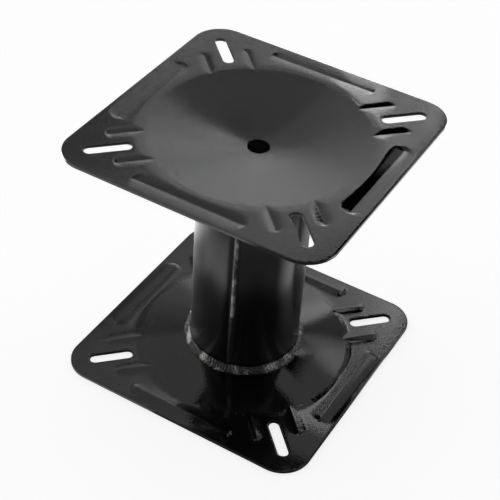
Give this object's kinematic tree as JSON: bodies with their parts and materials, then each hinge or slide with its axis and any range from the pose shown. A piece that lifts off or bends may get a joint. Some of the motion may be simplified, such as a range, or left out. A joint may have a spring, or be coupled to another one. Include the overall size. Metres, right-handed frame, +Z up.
{
  "type": "fixed seat pedestal",
  "caption": "Fixed-height seat pedestal: two square pressed plates with dish, ribs and diagonal slots, joined by a welded round tube.",
  "frame": {"origin": "on the floor at the middle of the base plate, on the axis of the tube", "axes": "+Z up along the tube; +X and +Y along the slots, so that a corner of each plate points along each of +X, -X, +Y and -Y; -Y is the corner nearest the camera in the picture"},
  "size_m": [0.2352, 0.2352, 0.174],
  "materials": {
    "black_coat_plate": "gloss black coat on pressed steel sheet",
    "black_coat_tube": "gloss black coat on steel tube",
    "black_coat_weld": "gloss black coat on a rippled weld bead"
  },
  "bodies": {
    "root": {"top_plate": "black_coat_plate", "base_plate": "black_coat_plate", "column_tube": "black_coat_tube", "top_weld": "black_coat_weld", "base_weld": "black_coat_weld"}
  },
  "joints": []
}
